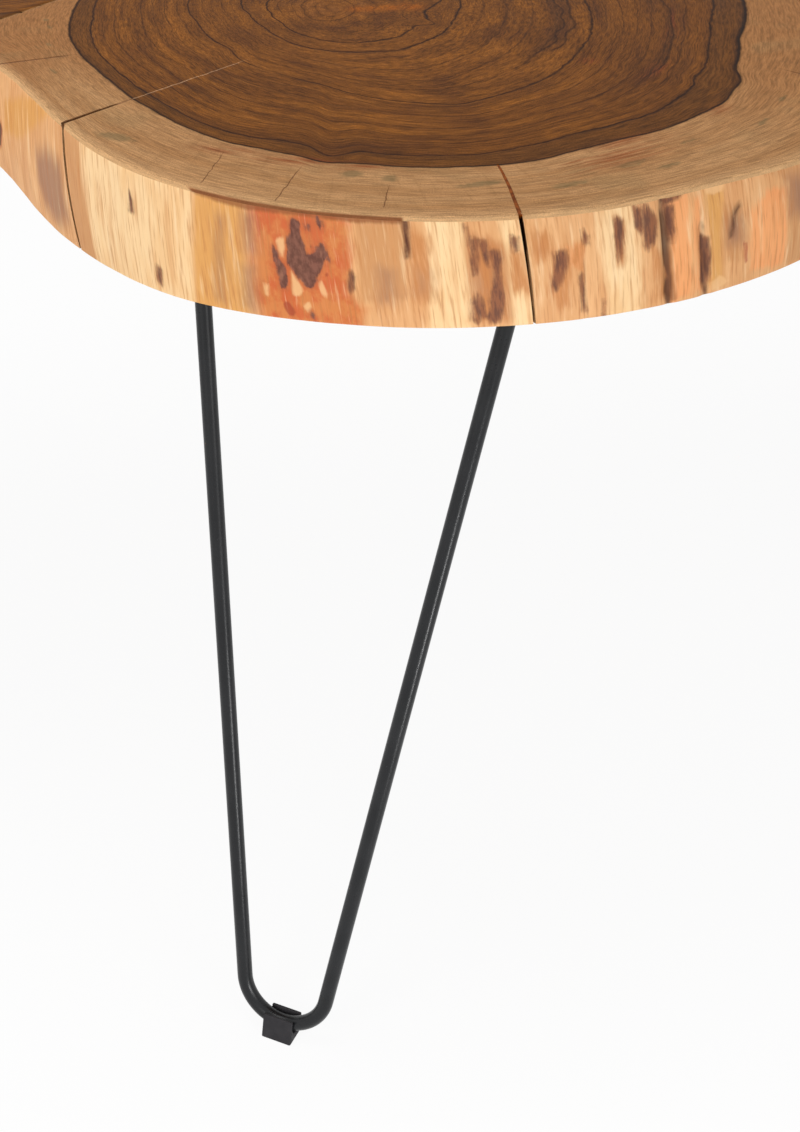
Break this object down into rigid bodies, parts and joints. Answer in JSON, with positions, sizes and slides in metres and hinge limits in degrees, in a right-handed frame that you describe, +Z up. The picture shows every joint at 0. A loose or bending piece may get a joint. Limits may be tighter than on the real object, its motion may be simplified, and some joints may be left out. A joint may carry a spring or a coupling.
{
  "type": "coffee table",
  "caption": "Low table with a live-edge top of joined tree slices on black hairpin legs with clip-on rubber feet.",
  "frame": {"origin": "on the floor below the middle of the table's bounding box", "axes": "+X along the table, towards the right as seen from the front leg; +Y from the front leg towards the back; +Z up"},
  "size_m": [0.9816, 0.7438, 0.46],
  "materials": {
    "live_edge_wood": "end grain, brown heartwood in a pale tan sapwood ring, clear satin lacquer",
    "dowel_wood": "plain hardwood dowel",
    "crack_fill": "hardened orange-brown filler, sanded flush",
    "black_steel": "satin black powder coat",
    "black_screw": "black oxide",
    "black_rubber": "matte moulded rubber"
  },
  "bodies": {
    "root": {"front_slice": "live_edge_wood", "left_slice": "live_edge_wood", "right_slice": "live_edge_wood", "crack_filler": "crack_fill", "left_joint_dowels": "dowel_wood", "right_joint_dowels": "dowel_wood", "back_joint_dowels": "dowel_wood", "front_hairpin_rod": "black_steel", "front_mounting_plate": "black_steel", "front_weld_beads": "black_steel", "front_plate_screws": "black_screw", "front_foot_cap": "black_rubber", "left_hairpin_rod": "black_steel", "left_mounting_plate": "black_steel", "left_weld_beads": "black_steel", "left_plate_screws": "black_screw", "left_foot_cap": "black_rubber", "right_hairpin_rod": "black_steel", "right_mounting_plate": "black_steel", "right_weld_beads": "black_steel", "right_plate_screws": "black_screw", "right_foot_cap": "black_rubber"}
  },
  "joints": []
}
